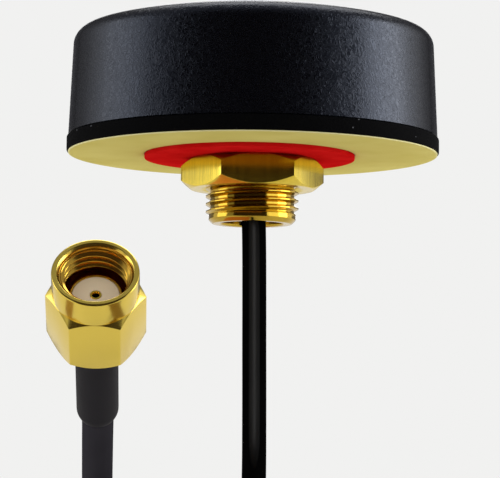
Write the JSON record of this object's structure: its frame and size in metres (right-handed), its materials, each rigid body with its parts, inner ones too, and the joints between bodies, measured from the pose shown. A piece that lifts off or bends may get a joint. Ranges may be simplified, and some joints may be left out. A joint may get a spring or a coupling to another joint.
{
  "type": "mushroom antenna",
  "caption": "Low round screw-mount antenna: domed cap on a foam pad, hollow threaded stud with washer and nut, and a thin coaxial lead that ends in a small threaded plug.",
  "frame": {"origin": "on the stud's axis, in the plane of the release paper that meets the panel", "axes": "+Z along the stud's axis, out of the panel through the domed cap; -Y towards the plug's mouth; +X to the right when the plug points at the viewer"},
  "size_m": [0.0579, 0.1128, 0.0675],
  "materials": {
    "cap_plastic": "fine leather-like grain, half matte",
    "seal_rubber": "smooth matte",
    "base_plastic": "fine matte",
    "pad_foam": "closed-cell foam, matte, with fine pores",
    "liner_paper": "coated release paper, satin",
    "stud_brass": "gold plated thread, bright",
    "red_fibre": "smooth vulcanised fibre",
    "nut_brass": "gold plated, vertically brushed flats",
    "board_laminate": "green solder mask",
    "screw_steel": "bright zinc",
    "spacer_plastic": "natural nylon",
    "radiator_sheet": "rolled bronze sheet",
    "pin_brass": "turned",
    "solder": "bright solder",
    "braid_wire": "tinned braid",
    "coax_white": "smooth",
    "core_wire": "copper wire",
    "potting_resin": "smooth dark resin",
    "lead_jacket": "smooth half matte jacket",
    "tie_nylon": "black nylon",
    "sleeve_plastic": "shrunk sleeve, half matte",
    "ferrule_gold": "gold plated",
    "plug_gold": "polished gold plate",
    "plug_rubber": "dark red silicone",
    "plug_white": "waxy white fluoroplastic",
    "socket_gold": "gold plated",
    "coupling_gold": "polished gold plate, satin flats"
  },
  "bodies": {
    "root": {"radome_cap": "cap_plastic", "cap_seal": "seal_rubber", "base_plate": "base_plastic", "foam_pad": "pad_foam", "pad_liner": "liner_paper", "threaded_stud": "stud_brass", "ground_board": "board_laminate", "board_screws": "screw_steel", "spacer_ring": "spacer_plastic", "radiator_plate": "radiator_sheet", "feed_pin": "pin_brass", "solder_joints": "solder", "coax_braid": "braid_wire", "coax_insulation": "coax_white", "coax_core": "core_wire", "stud_potting": "potting_resin", "lead_drop": "lead_jacket", "lead_coil": "lead_jacket", "cable_tie": "tie_nylon", "lead_tail": "lead_jacket", "shrink_sleeve": "sleeve_plastic", "crimp_ferrule": "ferrule_gold", "plug_body": "plug_gold", "snap_ring": "ferrule_gold", "plug_seal": "plug_rubber", "plug_insulator": "plug_white", "centre_socket": "socket_gold"},
    "washer": {"red_washer": "red_fibre"},
    "nut": {"mount_nut": "nut_brass"},
    "coupling": {"coupling_nut": "coupling_gold"}
  },
  "joints": [
    {"name": "nut_travel", "type": "slide", "parent": "root", "child": "washer", "axis": [0, 0, -1], "range_m": [0, 0.0043]},
    {"name": "nut_turn", "type": "hinge", "parent": "washer", "child": "nut", "pos_m": [0, 0, -0.0025], "axis": [0, 0, -1], "range_deg": [0, 1549]},
    {"name": "coupling_spin", "type": "hinge", "parent": "root", "child": "coupling", "pos_m": [-0.01416, -0.08517, -0.02249], "axis": [0.0333, -0.7948, 0.606], "continuous": true}
  ],
  "couplings": [
    {"joint": "nut_turn", "follows": "nut_travel", "rad_per_m": 6283.2}
  ]
}
